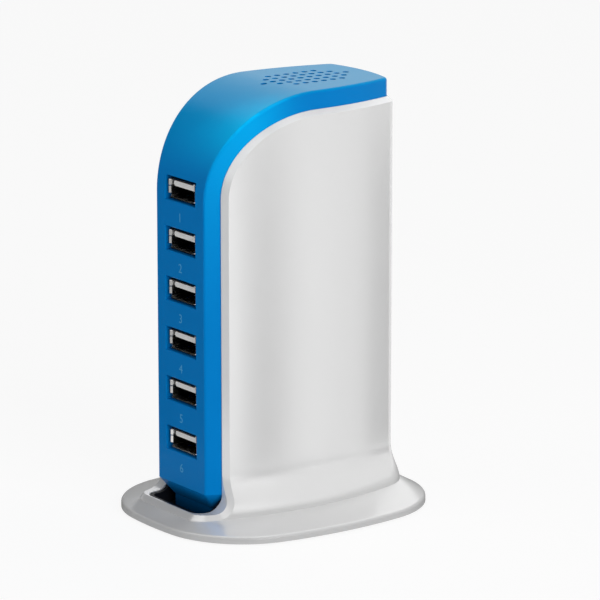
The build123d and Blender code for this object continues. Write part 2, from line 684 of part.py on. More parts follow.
def power_device(sink_place):
    """Three-lead device bolted flat to the front of its heat sink."""
    face, height = sink_place[0] - SINK_THICK / 2, sink_place[1]
    tab = on_board(
        (face - DEVICE_TAB / 2, height), Rectangle(DEVICE_TAB, DEVICE_WIDTH), DEVICE_LIFT, DEVICE_TALL
    )
    body = on_board(
        (face - DEVICE_THICK / 2, height), Rectangle(DEVICE_THICK, DEVICE_WIDTH), DEVICE_LIFT, DEVICE_BODY
    )
    leads = [
        on_board((face - DEVICE_THICK / 2, height + n * LEAD_PITCH), Rectangle(*LEAD_SIZE), 0, DEVICE_LIFT)
        for n in (-1, 0, 1)
    ]
    return body + tab + leads


def link_header():
    """Pin header that joins the back of the port board to the power board."""
    rear = CORE_FRONT_Y + POWER_BOARD_FRONT + HEADER_OVERLAP
    low = HEADER_HEIGHT - HEADER_LENGTH / 2
    return across(span(PORT_BOARD_BACK, rear, low, low + HEADER_LENGTH), BOARD_X, BOARD_X + HEADER_TALL)


parts = {
    "outer_sleeve": outer_sleeve(),
    "core_cover": core_cover(),
    "base_plate": base_plate(),
    "base_screws": Compound(children=[base_screw(place) for place in screw_places()]),
    "port_board": port_board(),
    "power_board": power_board(),
    "board_screws": Compound(children=[board_screw(place) for place in board_screw_places()]),
    "inlet_body": inlet_body(),
    "inlet_pins": Compound(children=[inlet_pin(n) for n in range(2)]),
    "fuse": on_board(FUSE_PLACE, Circle(FUSE_DIAMETER / 2), 0, FUSE_TALL),
    "safety_capacitor": on_board(SAFETY_PLACE, Rectangle(*SAFETY_SIZE), 0, SAFETY_TALL),
    "choke_core": choke_core(),
    "choke_coil": choke_coil(),
    "bridge_rectifier": on_board(BRIDGE_PLACE, Rectangle(*BRIDGE_SIZE), 0, BRIDGE_TALL),
    "bulk_capacitor": can(BULK_PLACE, BULK_DIAMETER, BULK_TALL),
    "transformer_core": transformer_core(),
    "transformer_bobbin": transformer_bobbin(),
    "transformer_coil": transformer_coil(),
    "power_transistor": power_device(SINK_PLACES[0]),
    "output_rectifier": power_device(SINK_PLACES[1]),
    "link_header": link_header(),
}
for n, place in enumerate(pad_places(), 1):
    parts[f"foot_pad_{n}"] = foot_pad(place)
for n, height in enumerate(PORT_HEIGHTS, 1):
    parts[f"usb_shell_{n}"] = usb_shell(height)
    parts[f"usb_insulator_{n}"] = usb_insulator(height)
    parts[f"usb_contacts_{n}"] = usb_contacts(height)
for n, place in enumerate(OUTPUT_PLACES, 1):
    parts[f"output_capacitor_{n}"] = can(place, OUTPUT_DIAMETER, OUTPUT_TALL)
for n, place in enumerate(SINK_PLACES, 1):
    parts[f"heat_sink_{n}"] = heat_sink(place)

os.makedirs("parts", exist_ok=True)
for name, shape in parts.items():
    export_step(shape, f"parts/{name}.step")
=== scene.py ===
"""Desktop USB charger tower: finishes, printed port numbers, small fittings, studio and camera."""

import json
import logging
import math
from dataclasses import dataclass, replace
from enum import Enum

import bmesh
import bpy
from mathutils import Matrix, Vector


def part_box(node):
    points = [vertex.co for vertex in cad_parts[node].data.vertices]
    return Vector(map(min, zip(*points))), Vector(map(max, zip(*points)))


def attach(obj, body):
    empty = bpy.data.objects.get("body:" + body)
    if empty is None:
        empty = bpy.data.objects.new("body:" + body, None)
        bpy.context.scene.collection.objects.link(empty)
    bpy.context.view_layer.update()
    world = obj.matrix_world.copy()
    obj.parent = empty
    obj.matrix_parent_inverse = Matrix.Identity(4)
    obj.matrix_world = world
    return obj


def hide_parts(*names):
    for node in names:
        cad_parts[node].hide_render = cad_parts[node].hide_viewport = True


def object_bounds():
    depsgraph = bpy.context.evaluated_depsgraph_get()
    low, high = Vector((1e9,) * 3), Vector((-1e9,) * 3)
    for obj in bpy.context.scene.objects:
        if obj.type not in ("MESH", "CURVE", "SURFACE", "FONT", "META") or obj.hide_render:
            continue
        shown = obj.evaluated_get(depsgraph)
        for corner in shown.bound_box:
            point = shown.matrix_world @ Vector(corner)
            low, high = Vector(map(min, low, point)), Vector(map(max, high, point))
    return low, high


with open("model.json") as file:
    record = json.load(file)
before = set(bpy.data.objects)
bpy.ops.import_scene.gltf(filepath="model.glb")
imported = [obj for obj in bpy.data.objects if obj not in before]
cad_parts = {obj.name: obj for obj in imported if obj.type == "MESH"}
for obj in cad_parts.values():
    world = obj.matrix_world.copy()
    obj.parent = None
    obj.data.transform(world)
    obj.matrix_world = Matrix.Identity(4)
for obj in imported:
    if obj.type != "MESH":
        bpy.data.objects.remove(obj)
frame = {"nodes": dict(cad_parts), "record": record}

LOG = logging.getLogger("charger")
MM = 0.001
ROOT = "root"
CAD_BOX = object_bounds()

Color = tuple[float, float, float]
Point = tuple[float, float, float]
Row = tuple[Vector, Vector, float, float]

BRUSHED_STRETCH: Point = (0.04, 1.0, 1.0)
CLOUD_SCALE_SHARE = 0.02
SPECK_SHARE = 0.5
NOISE_MIDDLE = 0.5
SCREW_SIDES = 40
WELD_DISTANCE = 1e-7
RING_STEPS = 48
RING_TUCK = 0.9
LAMP_AIM_HEIGHT = 60 * MM
CAMERA_REACH = 50.0


class Grain(Enum):
    """Kinds of surface detail that a finish can carry."""

    MOULDED = "moulded_grain"
    BRUSHED = "brushed_grain"


class NodeSheet:
    """A node tree with short calls for adding nodes, setting sockets and linking them."""

    def __init__(self, tree: bpy.types.NodeTree) -> None:
        """Wraps a tree.

        Args:
            tree: shader or geometry node tree to build in.
        """
        self.tree = tree

    def add(self, kind: str, values: dict | None = None, **settings: object) -> bpy.types.Node:
        """Adds a node.

        Args:
            kind: the node's type name.
            values: input socket name or index to value, or to an output socket that feeds it.
            settings: properties of the node itself.

        Returns:
            The new node.
        """
        node = self.tree.nodes.new(kind)
        for name, value in settings.items():
            setattr(node, name, value)
        for key, value in (values or {}).items():
            if isinstance(value, bpy.types.NodeSocket):
                self.tree.links.new(value, node.inputs[key])
            else:
                node.inputs[key].default_value = value
        return node

    def math(self, operation: str, first: object, second: object = 0.0) -> bpy.types.NodeSocket:
        """Adds a maths node.

        Args:
            operation: the operation's name.
            first: value or socket of the first operand.
            second: value or socket of the second operand.

        Returns:
            The node's output.
        """
        return self.add("ShaderNodeMath", {0: first, 1: second}, operation=operation).outputs[0]

    def scaled(self, colour: bpy.types.NodeSocket, share: bpy.types.NodeSocket) -> bpy.types.NodeSocket:
        """Adds a node that multiplies a colour by a value.

        Args:
            colour: the colour's socket.
            share: the value's socket.

        Returns:
            The node's output.
        """
        return self.add("ShaderNodeVectorMath", {0: colour, 3: share}, operation="SCALE").outputs[0]


def grain_group(kind: Grain) -> bpy.types.NodeTree:
    """Builds, once, the shader group of a kind of surface detail.

    Args:
        kind: which detail; brushed detail is drawn out along X.

    Returns:
        The group, with Colour, Roughness and Height outputs that vary over the surface.
    """
    known = bpy.data.node_groups.get(kind.value)
    if known:
        return known
    group = bpy.data.node_groups.new(kind.value, "ShaderNodeTree")
    face = group.interface
    face.new_socket("Colour", in_out="INPUT", socket_type="NodeSocketColor")
    for name in ("Tone", "Roughness", "Gloss Shift", "Scale"):
        face.new_socket(name, in_out="INPUT", socket_type="NodeSocketFloat")
    face.new_socket("Colour", in_out="OUTPUT", socket_type="NodeSocketColor")
    face.new_socket("Roughness", in_out="OUTPUT", socket_type="NodeSocketFloat")
    face.new_socket("Height", in_out="OUTPUT", socket_type="NodeSocketFloat")
    sheet = NodeSheet(group)
    given = sheet.add("NodeGroupInput").outputs
    place = sheet.add("ShaderNodeTexCoord").outputs["Object"]
    if kind is Grain.BRUSHED:
        place = sheet.add("ShaderNodeMapping", {"Vector": place, "Scale": BRUSHED_STRETCH}).outputs[0]
    fine = sheet.add(
        "ShaderNodeTexNoise", {"Vector": place, "Scale": given["Scale"], "Detail": 3.0, "Roughness": 0.6}
    ).outputs[0]
    cloud_scale = sheet.math("MULTIPLY", given["Scale"], CLOUD_SCALE_SHARE)
    broad = sheet.add("ShaderNodeTexNoise", {"Vector": place, "Scale": cloud_scale, "Detail": 2.0}).outputs[0]
    speck = sheet.math("SUBTRACT", fine, NOISE_MIDDLE)
    cloud = sheet.math("SUBTRACT", broad, NOISE_MIDDLE)
    both = sheet.math("ADD", sheet.math("MULTIPLY", speck, SPECK_SHARE), cloud)
    shade = sheet.math("ADD", sheet.math("MULTIPLY", both, given["Tone"]), 1.0)
    tinted = sheet.scaled(given["Colour"], shade)
    gloss = sheet.math("MULTIPLY", both, given["Gloss Shift"])
    rough = sheet.math("ADD", given["Roughness"], gloss)
    sheet.add("NodeGroupOutput", {"Colour": tinted, "Roughness": rough, "Height": fine})
    return group


def fade_group() -> bpy.types.NodeTree:
    """Builds, once, the shader group that paints shade onto a colour along one direction of the part, darker
    towards a recess's deep end.

    Returns:
        The group, with the Colour under painted shade as its output.
    """
    known = bpy.data.node_groups.get("painted_depth_shade")
    if known:
        return known
    group = bpy.data.node_groups.new("painted_depth_shade", "ShaderNodeTree")
    face = group.interface
    face.new_socket("Colour", in_out="INPUT", socket_type="NodeSocketColor")
    face.new_socket("Along", in_out="INPUT", socket_type="NodeSocketVector")
    for name in ("Full", "Deep", "Share"):
        face.new_socket(name, in_out="INPUT", socket_type="NodeSocketFloat")
    face.new_socket("Colour", in_out="OUTPUT", socket_type="NodeSocketColor")
    sheet = NodeSheet(group)
    given = sheet.add("NodeGroupInput").outputs
    place = sheet.add("ShaderNodeTexCoord").outputs["Object"]
    along = sheet.add("ShaderNodeVectorMath", {0: place, 1: given["Along"]}, operation="DOT_PRODUCT")
    shade = sheet.add(
        "ShaderNodeMapRange",
        {0: along.outputs["Value"], 1: given["Full"], 2: given["Deep"], 3: 1.0, 4: given["Share"]},
    ).outputs[0]
    sheet.add("NodeGroupOutput", {"Colour": sheet.scaled(given["Colour"], shade)})
    return group


@dataclass(frozen=True)
class Fade:
    """Painted shade: where a colour runs from full to a share of itself, measured along a direction of the
    part, darker deep in a recess.
    """

    along: Point
    full: float
    deep: float
    share: float


@dataclass(frozen=True)
class Finish:
    """A finish: its colour and gloss, and the detail that varies them over the surface."""

    name: str
    color: Color
    roughness: float
    grain: Grain = Grain.MOULDED
    metallic: float = 0.0
    ior: float = 1.5
    sheen_tint: Color = (1.0, 1.0, 1.0)
    tone: float = 0.03
    gloss_shift: float = 0.06
    scale: float = 4000.0
    bump: float = 0.05
    bump_height: float = 0.01 * MM
    # painted shade that darkens the colour deep in a recess; none if empty
    fade: Fade | None = None

    def material(self) -> bpy.types.Material:
        """Builds the finish's material, or returns the one already built.

        Returns:
            The material.
        """
        known = bpy.data.materials.get(self.name)
        if known:
            return known
        material = bpy.data.materials.new(self.name)
        material.use_nodes = True
        material.node_tree.nodes.clear()
        sheet = NodeSheet(material.node_tree)
        detail = sheet.add("ShaderNodeGroup", node_tree=grain_group(self.grain))
        detail.inputs["Colour"].default_value = (*self.color, 1.0)
        # Paints shade onto the colour where the finish has it.
        if self.fade:
            sheet.tree.links.new(self.faded(sheet, self.fade), detail.inputs["Colour"])
        detail.inputs["Tone"].default_value = self.tone
        detail.inputs["Roughness"].default_value = self.roughness
        detail.inputs["Gloss Shift"].default_value = self.gloss_shift
        detail.inputs["Scale"].default_value = self.scale
        bump = sheet.add(
            "ShaderNodeBump",
            {"Strength": self.bump, "Distance": self.bump_height, "Height": detail.outputs["Height"]},
        )
        shader = sheet.add(
            "ShaderNodeBsdfPrincipled",
            {
                "Base Color": detail.outputs["Colour"],
                "Roughness": detail.outputs["Roughness"],
                "Metallic": self.metallic,
                "IOR": self.ior,
                "Specular Tint": (*self.sheen_tint, 1.0),
                "Normal": bump.outputs[0],
            },
        )
        sheet.add("ShaderNodeOutputMaterial", {"Surface": shader.outputs[0]})
        return material

    def faded(self, sheet: NodeSheet, fade: Fade) -> bpy.types.NodeSocket:
        """Adds the finish's colour with shade painted onto it along a direction.

        Args:
            sheet: the material's tree.
            fade: where shade is painted onto the colour.

        Returns:
            The colour's socket.
        """
        node = sheet.add("ShaderNodeGroup", node_tree=fade_group())
        node.inputs["Colour"].default_value = (*self.color, 1.0)
        node.inputs["Along"].default_value = fade.along
        node.inputs["Full"].default_value = fade.full
        node.inputs["Deep"].default_value = fade.deep
        node.inputs["Share"].default_value = fade.share
        return node.outputs["Colour"]


WHITE_MOULDING = Finish("white_moulding", (0.82, 0.82, 0.82), 0.22, metallic=0.3, tone=0.012)
# Painted shade: the blue darkens to 0.3 of itself from 11 mm down to 6 mm, standing in for the shade in the
# pocket round the core's foot.
BLUE_MOULDING = Finish(
    "blue_moulding", (0.0005, 0.215, 0.62), 0.30, tone=0.05, ior=1.25, sheen_tint=(0.1, 0.55, 1.0),
    fade=Fade((0, 0, 1), 11 * MM, 6 * MM, 0.3),
)
BLACK_MOULDING = Finish("black_moulding", (0.008, 0.009, 0.013), 0.5, bump=0.25, ior=1.3)
# Painted shade: the tongues darken to 0.1 of themselves towards the back of each port, from y -31.4 mm to -27
# mm, standing in for the shade inside it.
PALE_TONGUE = Finish(
    "pale_tongue", (0.90, 0.90, 0.89), 0.42, tone=0.04, fade=Fade((0, 1, 0), -31.4 * MM, -27 * MM, 0.1),
)
PORT_INK = Finish("port_ink", (0.06, 0.38, 0.72), 0.5, tone=0.08)
PAD_RUBBER = Finish("pad_rubber", (0.02, 0.02, 0.021), 0.8, bump=0.6, tone=0.15)
NICKEL_SHEET = Finish(
    "nickel_sheet", (0.78, 0.78, 0.77), 0.22, Grain.BRUSHED, metallic=1.0, scale=9000.0,
)
# Painted shade: the port shells darken to 0.08 of themselves towards the back, from y -32.6 mm to -29.5 mm,
# standing in for the shade inside each port.
SHELL_NICKEL = replace(
    NICKEL_SHEET, name="shell_nickel", fade=Fade((0, 1, 0), -32.6 * MM, -29.5 * MM, 0.08),
)
ZINC_STEEL = Finish(
    "zinc_steel", (0.55, 0.56, 0.58), 0.32, Grain.BRUSHED, metallic=1.0, scale=7000.0, tone=0.1,
)
GOLD_PLATE = Finish(
    "gold_plate", (0.86, 0.62, 0.26), 0.25, Grain.BRUSHED, metallic=1.0, scale=8000.0,
)
GREEN_LAMINATE = Finish("green_laminate", (0.015, 0.14, 0.05), 0.4, tone=0.2, scale=1500.0)
DEVICE_CASE = Finish("device_case", (0.018, 0.018, 0.02), 0.55, tone=0.2, bump=0.3)
YELLOW_CASE = Finish("yellow_case", (0.62, 0.38, 0.05), 0.35, tone=0.08)
CAN_SLEEVE = Finish("can_sleeve", (0.02, 0.022, 0.05), 0.3, tone=0.15)
FERRITE = Finish("ferrite", (0.04, 0.04, 0.043), 0.6, tone=0.3, bump=0.5)
COPPER_WIRE = Finish(
    "copper_wire", (0.55, 0.22, 0.09), 0.35, Grain.BRUSHED, metallic=1.0, scale=5000.0, tone=0.2,
)
MILL_ALUMINIUM = Finish(
    "mill_aluminium", (0.72, 0.73, 0.74), 0.35, Grain.BRUSHED, metallic=1.0, scale=5000.0,
)

CAD_FINISHES: dict[str, Finish] = {
    "white_plastic": WHITE_MOULDING,
    "blue_plastic": BLUE_MOULDING,
    "dark_plastic": BLACK_MOULDING,
    "pad_rubber": PAD_RUBBER,
    "screw_steel": ZINC_STEEL,
    "shell_steel": SHELL_NICKEL,
    "tongue_plastic": PALE_TONGUE,
    "contact_metal": GOLD_PLATE,
    "pin_metal": NICKEL_SHEET,
    "board_laminate": GREEN_LAMINATE,
    "device_plastic": DEVICE_CASE,
    "film_case": YELLOW_CASE,
    "capacitor_sleeve": CAN_SLEEVE,
    "ferrite": FERRITE,
    "copper_winding": COPPER_WIRE,
    "bobbin_plastic": BLACK_MOULDING,
    "sink_aluminium": MILL_ALUMINIUM,
}


def link(name: str, mesh: bpy.types.Mesh) -> bpy.types.Object:
    """Puts a mesh in the scene as an object at the origin.

    Args:
        name: the object's name.
        mesh: its mesh, already in place.

    Returns:
        The object.
    """
    thing = bpy.data.objects.new(name, mesh)
    bpy.context.scene.collection.objects.link(thing)
    return thing


def settle(thing: bpy.types.Object, slot: str, *nodes: str) -> bpy.types.Object:
    """Makes a finished piece ride on the charger.

    Args:
        thing: the piece.
        slot: the record's material slot that it belongs to; not used.
        nodes: solids that it stands for.

    Returns:
        The piece.
    """
    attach(thing, ROOT)
    if nodes:
        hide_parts(*nodes)
    LOG.info("%s: %d faces", thing.name, len(thing.data.polygons))
    return thing


class Pattern:
    """A geometry tree that puts one shape at each point of a mesh."""

    def __init__(self, name: str, sizes: dict[str, float]) -> None:
        """Starts the tree.

        Args:
            name: the tree's name.
            sizes: named inputs and their values, in metres.
        """
        self.sizes = sizes
        self.tree = bpy.data.node_groups.new(name, "GeometryNodeTree")
        face = self.tree.interface
        face.new_socket("Geometry", in_out="INPUT", socket_type="NodeSocketGeometry")
        self.sockets = {
            key: face.new_socket(key, in_out="INPUT", socket_type="NodeSocketFloat").identifier
            for key in sizes
        }
        face.new_socket("Geometry", in_out="OUTPUT", socket_type="NodeSocketGeometry")
        self.sheet = NodeSheet(self.tree)
        self.given = self.sheet.add("NodeGroupInput")

    def size(self, name: str) -> bpy.types.NodeSocket:
        """Returns the socket of a named input."""
        return self.given.outputs[name]

    def vector(self, x: object = 0.0, y: object = 0.0, z: object = 0.0) -> bpy.types.NodeSocket:
        """Joins three values or sockets into a vector socket."""
        return self.sheet.add("ShaderNodeCombineXYZ", {0: x, 1: y, 2: z}).outputs[0]

    def moved(
        self, shape: bpy.types.NodeSocket, offset: object, turn: Point = (0, 0, 0)
    ) -> bpy.types.NodeSocket:
        """Moves and turns a shape.

        Args:
            shape: geometry socket.
            offset: vector or vector socket.
            turn: Euler angles in radians.

        Returns:
            The moved geometry.
        """
        values = {"Geometry": shape, "Translation": offset, "Rotation": turn}
        return self.sheet.add("GeometryNodeTransform", values).outputs[0]

    def finish(self, shape: bpy.types.NodeSocket, material: bpy.types.Material) -> None:
        """Ends the tree: instances of the shape at the points, made real, with a material.

        Args:
            shape: geometry to repeat.
            material: finish of the copies.
        """
        add = self.sheet.add
        copies = add("GeometryNodeInstanceOnPoints", {"Points": self.given.outputs[0], "Instance": shape})
        real = add("GeometryNodeRealizeInstances", {"Geometry": copies.outputs[0]})
        dressed = add("GeometryNodeSetMaterial", {"Geometry": real.outputs[0], "Material": material})
        add("NodeGroupOutput", {0: dressed.outputs[0]})

    def mesh(self, name: str, points: list[Point]) -> bpy.types.Object:
        """Runs the tree on points and keeps the result as a plain mesh.

        Args:
            name: name of the finished object.
            points: where the copies go, in metres.

        Returns:
            The finished object.
        """
        seeds = bpy.data.meshes.new(name + "_points")
        seeds.from_pydata(points, [], [])
        carrier = link(name + "_carrier", seeds)
        modifier = carrier.modifiers.new("pattern", "NODES")
        modifier.node_group = self.tree
        for key, value in self.sizes.items():
            modifier[self.sockets[key]] = value
        bpy.context.view_layer.update()
        graph = bpy.context.evaluated_depsgraph_get()
        made = bpy.data.meshes.new_from_object(carrier.evaluated_get(graph))
        carrier.modifiers.remove(modifier)
        bpy.data.objects.remove(carrier)
        return link(name, made)


class Housing:
    """The moulded shells and everything that stays as the solids give it."""

    def dress(self) -> None:
        """Gives each solid the finish of its material slot."""
        slots = {part["node"]: part["material_slot"] for part in frame["record"]["subparts"]}
        for name, node in frame["nodes"].items():
            node.data.materials.clear()
            node.data.materials.append(CAD_FINISHES[slots[name]].material())
            LOG.info("%s: %s", name, slots[name])


@dataclass
class PortBank:
    """What the six receptacles carry beyond their solids: a printed number below each."""

    count: int = 6
    front_y: float = -33.7 * MM
    number_drop: float = 8.3 * MM
    number_size: float = 3.9 * MM
    ink_proud: float = 0.03 * MM

    def centres(self) -> list[Vector]:
        """Returns the middle of each receptacle's mouth, from the top down."""
        found = []
        for n in range(self.count):
            low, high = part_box(f"usb_shell_{n + 1}")
            found.append(Vector((0.0, low.y, (low.z + high.z) / 2)))
        return found

    def build(self) -> bpy.types.Object:
        """Prints a plain number under each port.

        Returns:
            The printed numbers as one thin mesh.
        """
        joined = bmesh.new()
        for n, centre in enumerate(self.centres(), 1):
            curve = bpy.data.curves.new(f"number_{n}", "FONT")
            curve.body = str(n)
            curve.size = self.number_size
            curve.align_x, curve.align_y = "CENTER", "CENTER"
            curve.extrude = self.ink_proud
            text = bpy.data.objects.new(f"number_{n}", curve)
            bpy.context.scene.collection.objects.link(text)
            graph = bpy.context.evaluated_depsgraph_get()
            mesh = bpy.data.meshes.new_from_object(text.evaluated_get(graph))
            bpy.data.objects.remove(text)
            place = Matrix.Translation((0.0, self.front_y, centre.z - self.number_drop))
            mesh.transform(place @ Matrix.Rotation(math.pi / 2, 4, "X"))
            joined.from_mesh(mesh)
            bpy.data.meshes.remove(mesh)
        bmesh.ops.remove_doubles(joined, verts=joined.verts, dist=WELD_DISTANCE)
        bmesh.ops.recalc_face_normals(joined, faces=joined.faces)
        made = bpy.data.meshes.new("port_numbers")
        joined.to_mesh(made)
        joined.free()
        made.materials.append(PORT_INK.material())
        return settle(link("port_numbers", made), "blue_plastic")


@dataclass
class Fasteners:
    """Countersunk screws under the base, with cross recesses in their heads."""

    head: float = 5.4 * MM
    head_depth: float = 1.4 * MM
    shank: float = 2.8 * MM
    length: float = 9.0 * MM
    recess_width: float = 0.7 * MM
    recess_reach: float = 3.0 * MM
    recess_depth: float = 0.9 * MM

    def places(self) -> list[Point]:
        """Returns the middle of each screw's head, on the underside of the base."""
        low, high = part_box("base_screws")
        x, front, rear = high.x - self.head / 2, low.y + self.head / 2, high.y - self.head / 2
        return [(i * x, y, low.z) for i in (-1, 1) for y in (front, rear)]

    def build(self) -> bpy.types.Object:
        """Builds the screws as one patterned piece.

        Returns:
            The screws.
        """
        sizes = {
            "Head Radius": self.head / 2,
            "Head Depth": self.head_depth,
            "Shank Radius": self.shank / 2,
            "Length": self.length,
            "Recess Width": self.recess_width,
            "Recess Reach": self.recess_reach,
            "Recess Depth": self.recess_depth,
        }
        pattern = Pattern("countersunk_screws", sizes)
        sheet, size = pattern.sheet, pattern.size
        cone = sheet.add(
            "GeometryNodeMeshCone",
            {
                "Vertices": SCREW_SIDES,
                "Radius Top": size("Shank Radius"),
                "Radius Bottom": size("Head Radius"),
                "Depth": size("Head Depth"),
            },
        ).outputs[0]
        body = sheet.math("SUBTRACT", size("Length"), size("Head Depth"))
        shank = sheet.add(
            "GeometryNodeMeshCylinder",
            {"Vertices": SCREW_SIDES, "Radius": size("Shank Radius"), "Depth": body},
        ).outputs[0]
        lift = sheet.math("ADD", sheet.math("MULTIPLY", body, 0.5), size("Head Depth"))
        screw = sheet.add("GeometryNodeJoinGeometry")
        for shape in (cone, pattern.moved(shank, pattern.vector(z=lift))):
            sheet.tree.links.new(shape, screw.inputs[0])
        deep = sheet.math("MULTIPLY", size("Recess Depth"), 2.0)
        bar = pattern.vector(size("Recess Reach"), size("Recess Width"), deep)
        cube = sheet.add("GeometryNodeMeshCube", {"Size": bar}).outputs[0]
        cut = sheet.add(
            "GeometryNodeMeshBoolean", {"Mesh 1": screw.outputs[0]}, operation="DIFFERENCE", solver="EXACT",
        )
        for turn in (0.0, math.pi / 2):
            sheet.tree.links.new(pattern.moved(cube, (0, 0, 0), (0, 0, turn)), cut.inputs["Mesh 2"])
        pattern.finish(cut.outputs[0], ZINC_STEEL.material())
        return settle(pattern.mesh("base_screw_set", self.places()), "screw_steel", "base_screws")


@dataclass(frozen=True)
class Lamp:
    """A soft rectangular lamp that faces the charger.

    Azimuth and elevation are degrees, with 0 in front and 90 on the right; width, height and distance are
    metres; power is watts. A lamp with a solid named in only lights nothing else.
    """

    name: str
    azimuth: float
    elevation: float
    width: float
    height: float
    distance: float
    power: float
    only: str = ""
    tint: Color = (1.0, 1.0, 1.0)


@dataclass(frozen=True)
class Card:
    """A studio card that stands round the charger and shows only in its reflections.

    It runs from the first azimuth to the last, in degrees; distance, bottom and top are metres.
    """

    name: str
    first: float
    last: float
    distance: float
    bottom: float
    top: float
    strength: float
    panels: int = 8


@dataclass
class Studio:
    """Floor, world, lamps, and the cards and floor sweep that only reflections show."""

    view_azimuth: float
    floor_half: float = 6.0
    floor_color: float = 0.85
    floor_glow: float = 0.8
    backdrop: float = 1.0
    floor_level: float = 1.1
    world_level: float = 0.32
    wall_radius: float = 97.3 * MM
    wall_centre: tuple[float, float] = (-76.1 * MM, 1.7 * MM)
    sweep_near: float = 60 * MM
    sweep_far: float = 1200 * MM
    sweep_lift: float = 1 * MM
    sweep: tuple[tuple[float, float], ...] = (
        (62.0, 1.60), (71.0, 1.60), (72.4, 1.15), (74.2, 0.75), (76.4, 0.38), (78.6, 0.25), (80.8, 0.38),
        (83.0, 0.66), (85.2, 0.82), (87.4, 0.97), (89.6, 0.97), (92.0, 0.86), (96.0, 0.80), (98.3, 0.80),
        (100.5, 0.72), (102.7, 0.30), (105.0, 0.20), (112.0, 0.20),
    )
    lamps: tuple[Lamp, ...] = (
        Lamp("key", 85.0, 15.0, 0.9, 0.5, 1.3, 8.8),
        Lamp("fill", -20.0, 5.0, 0.8, 0.6, 1.5, 4.2),
        Lamp("top", 180.0, 72.0, 0.15, 0.15, 0.35, 0.5, "outer_sleeve"),
        Lamp("back", 235.0, 20.0, 0.9, 0.5, 1.4, 5.0, "outer_sleeve"),
        Lamp("crown", 180.0, 80.0, 0.15, 0.15, 0.35, 0.65, "core_cover", (0.5, 1.0, 0.48)),
    )
    accent_place: Point = (60 * MM, -12 * MM, 180 * MM)
    accent_target: Point = (10 * MM, -27 * MM, 108 * MM)
    accent_softness: float = 10 * MM
    accent_cone: float = 29.0
    accent_power: float = 0.4
    accent_tint: Color = (1.0, 1.0, 0.5)
    ring_reach: float = 30 * MM
    ring_strength: float = 0.15
    fence_reach: float = 1.15
    fence_rise: tuple[float, float] = (1 * MM, 11 * MM)
    fence_levels: tuple[float, float] = (0.0, 0.45)
    cards: tuple[Card, ...] = (
        Card("front_flag", -78.0, -20.0, 0.085, 0.0, 0.26, 0.02),
        Card("bevel_flag", 5.0, 45.0, 0.16, 0.0, 0.13, 0.42),
        Card("flare_card", 60.0, 175.0, 0.62, 0.0, 0.40, 0.78),
        Card("flare_flag", 60.0, 175.0, 0.62, 0.40, 1.40, 0.4),
    )

    def seen_directly(self, sheet: NodeSheet) -> bpy.types.NodeSocket:
        """Adds a mask of the rays that see the backdrop: camera, mirror and see-through rays."""
        path = sheet.add("ShaderNodeLightPath")
        mask = path.outputs["Is Camera Ray"]
        for name in ("Is Glossy Ray", "Is Transmission Ray"):
            mask = sheet.math("MAXIMUM", mask, path.outputs[name])
        return mask

    def floor(self) -> None:
        """Lays a pale floor that keeps a soft shadow."""
        half = self.floor_half
        corners = [(-half, -half, 0), (half, -half, 0), (half, half, 0), (-half, half, 0)]
        mesh = bpy.data.meshes.new("studio_floor")
        mesh.from_pydata(corners, [], [(0, 1, 2, 3)])
        material = bpy.data.materials.new("studio_floor")
        material.use_nodes = True
        material.node_tree.nodes.clear()
        sheet = NodeSheet(material.node_tree)
        tone = (self.floor_color,) * 3 + (1.0,)
        matte = sheet.add("ShaderNodeBsdfDiffuse", {"Color": tone})
        glow = sheet.add("ShaderNodeEmission", {"Strength": self.floor_level})
        share = sheet.math("MULTIPLY", self.seen_directly(sheet), self.floor_glow)
        mixed = sheet.add("ShaderNodeMixShader", {0: share, 1: matte.outputs[0], 2: glow.outputs[0]})
        sheet.add("ShaderNodeOutputMaterial", {"Surface": mixed.outputs[0]})
        mesh.materials.append(material)
        link("studio_floor", mesh)

    def world(self) -> None:
        """Sets a white backdrop that lights the charger at a plain level."""
        world = bpy.data.worlds.new("studio_world")
        world.use_nodes = True
        world.node_tree.nodes.clear()
        sheet = NodeSheet(world.node_tree)
        mask = self.seen_directly(sheet)
        extra = sheet.math("MULTIPLY", mask, self.backdrop - self.world_level)
        level = sheet.math("ADD", extra, self.world_level)
        light = sheet.add("ShaderNodeBackground", {"Color": (1, 1, 1, 1), "Strength": level})
        sheet.add("ShaderNodeOutputWorld", {"Surface": light.outputs[0]})
        bpy.context.scene.world = world

    def hang(self, light: bpy.types.Light, place: Vector, way: Vector, only: str = "") -> None:
        """Hangs a lamp that mirrors don't show.

        Args:
            light: the lamp's data.
            place: where it hangs.
            way: direction from what it lights to the lamp.
            only: the one solid that it lights; it lights all if empty.
        """
        thing = bpy.data.objects.new(light.name, light)
        thing.location = place
        thing.rotation_euler = way.to_track_quat("Z", "Y").to_euler()
        thing.visible_glossy = False
        if only:
            lit = bpy.data.collections.new(f"{light.name}_lit")
            lit.objects.link(frame["nodes"][only])
            thing.light_linking.receiver_collection = lit
        bpy.context.scene.collection.objects.link(thing)

    def lamp(self, lamp: Lamp) -> None:
        """Hangs a soft rectangular lamp.

        Args:
            lamp: its place, size and light.
        """
        light = bpy.data.lights.new(lamp.name, "AREA")
        light.shape = "RECTANGLE"
        light.size, light.size_y = lamp.width, lamp.height
        light.energy = lamp.power
        light.color = lamp.tint
        rise = math.radians(lamp.elevation)
        way = self.heading(lamp.azimuth) * math.cos(rise) + Vector((0, 0, math.sin(rise)))
        self.hang(light, way * lamp.distance + Vector((0, 0, LAMP_AIM_HEIGHT)), way, lamp.only)

